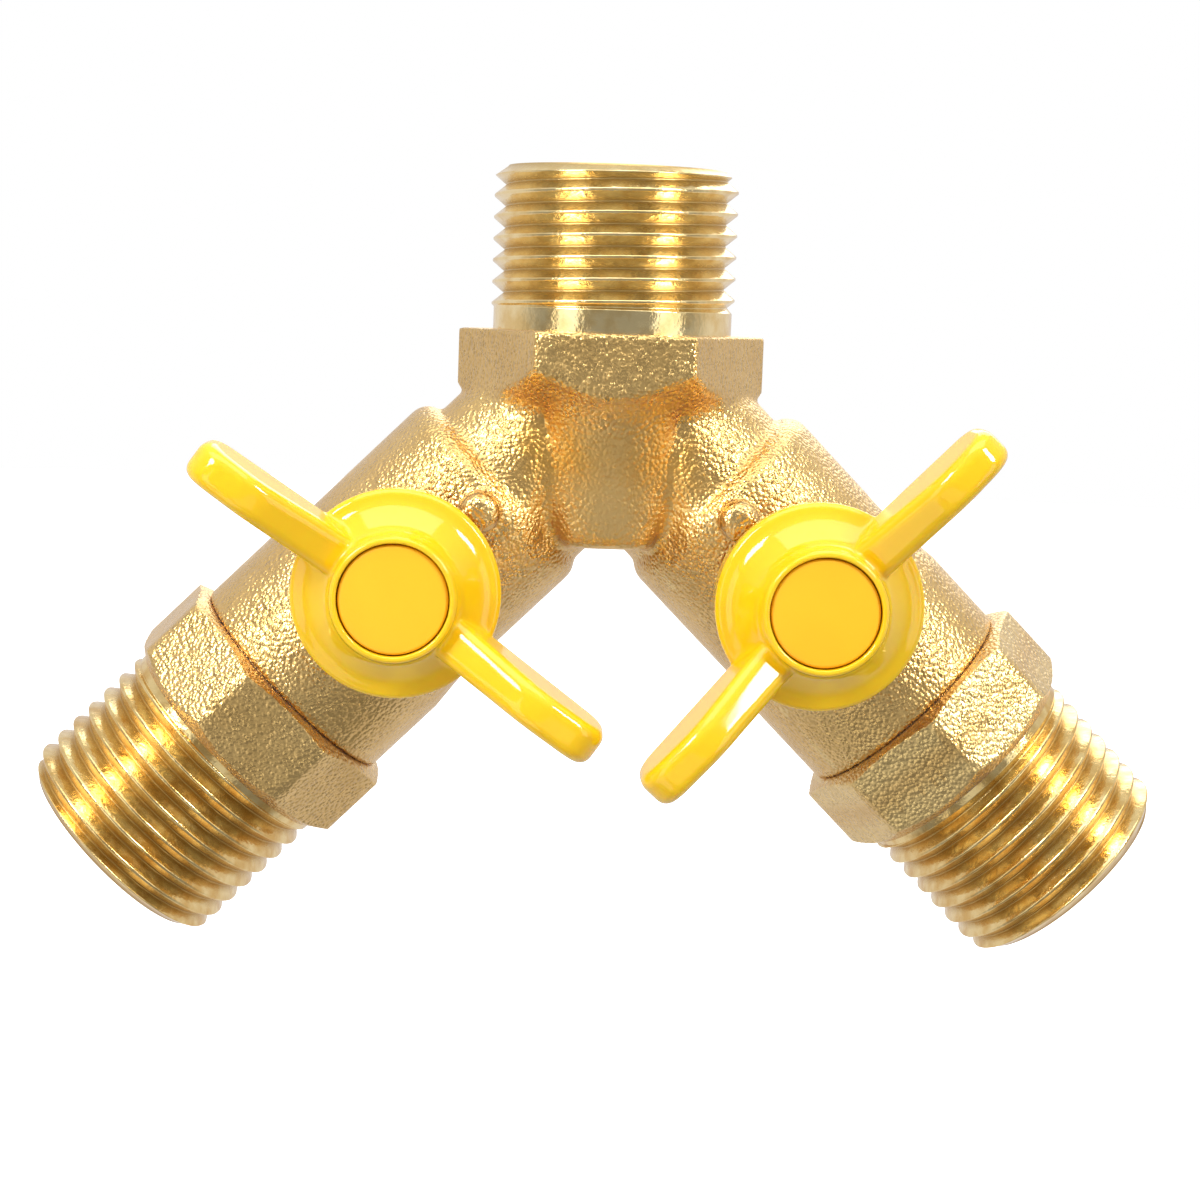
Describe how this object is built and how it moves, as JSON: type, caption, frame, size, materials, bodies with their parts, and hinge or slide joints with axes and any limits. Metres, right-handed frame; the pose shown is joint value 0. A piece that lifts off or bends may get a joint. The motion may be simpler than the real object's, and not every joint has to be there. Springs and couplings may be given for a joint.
{
  "type": "hose splitter",
  "caption": "Y-shaped brass hose splitter: threaded inlet with hexagon, two legs with quarter-turn ball valves, two-armed handles and threaded outlets.",
  "frame": {"origin": "centre of the inlet's end face", "axes": "+Z along the inlet, out of its mouth; the legs spread along X; the handles face -Y"},
  "size_m": [0.0966, 0.0338, 0.0663],
  "materials": {
    "body_brass": "as cast, tumbled, fine grain; threads bright machined",
    "connector_brass": "as cast wrench flats, bright machined thread",
    "stem_brass": "machined",
    "ball_chrome": "polished",
    "seat_ptfe": "smooth PTFE",
    "washer_ptfe": "smooth PTFE",
    "seal_fibre": "red-brown fibre, matte",
    "o_ring_rubber": "black, satin",
    "handle_plastic": "glossy yellow moulding",
    "cap_plastic": "satin orange-yellow moulding",
    "screw_steel": "zinc plated"
  },
  "bodies": {
    "splitter_body": {"valve_body": "body_brass", "left_end_connector": "connector_brass", "left_joint_seal": "seal_fibre", "left_inner_seat": "seat_ptfe", "left_outer_seat": "seat_ptfe", "left_thrust_washer": "washer_ptfe", "right_end_connector": "connector_brass", "right_joint_seal": "seal_fibre", "right_inner_seat": "seat_ptfe", "right_outer_seat": "seat_ptfe", "right_thrust_washer": "washer_ptfe"},
    "left_valve_spindle": {"left_ball": "ball_chrome", "left_stem": "stem_brass", "left_stem_o_ring_lower": "o_ring_rubber", "left_stem_o_ring_upper": "o_ring_rubber", "left_handle": "handle_plastic", "left_lock_washer": "screw_steel", "left_handle_screw": "screw_steel", "left_handle_cap": "cap_plastic"},
    "right_valve_spindle": {"right_ball": "ball_chrome", "right_stem": "stem_brass", "right_stem_o_ring_lower": "o_ring_rubber", "right_stem_o_ring_upper": "o_ring_rubber", "right_handle": "handle_plastic", "right_lock_washer": "screw_steel", "right_handle_screw": "screw_steel", "right_handle_cap": "cap_plastic"}
  },
  "joints": [
    {"name": "left_valve", "type": "hinge", "parent": "splitter_body", "child": "left_valve_spindle", "pos_m": [-0.01718, 0, -0.03518], "axis": [0, -1, 0], "range_deg": [-10, 80]},
    {"name": "right_valve", "type": "hinge", "parent": "splitter_body", "child": "right_valve_spindle", "pos_m": [0.01718, 0, -0.03518], "axis": [0, -1, 0], "range_deg": [-3, 87]}
  ]
}
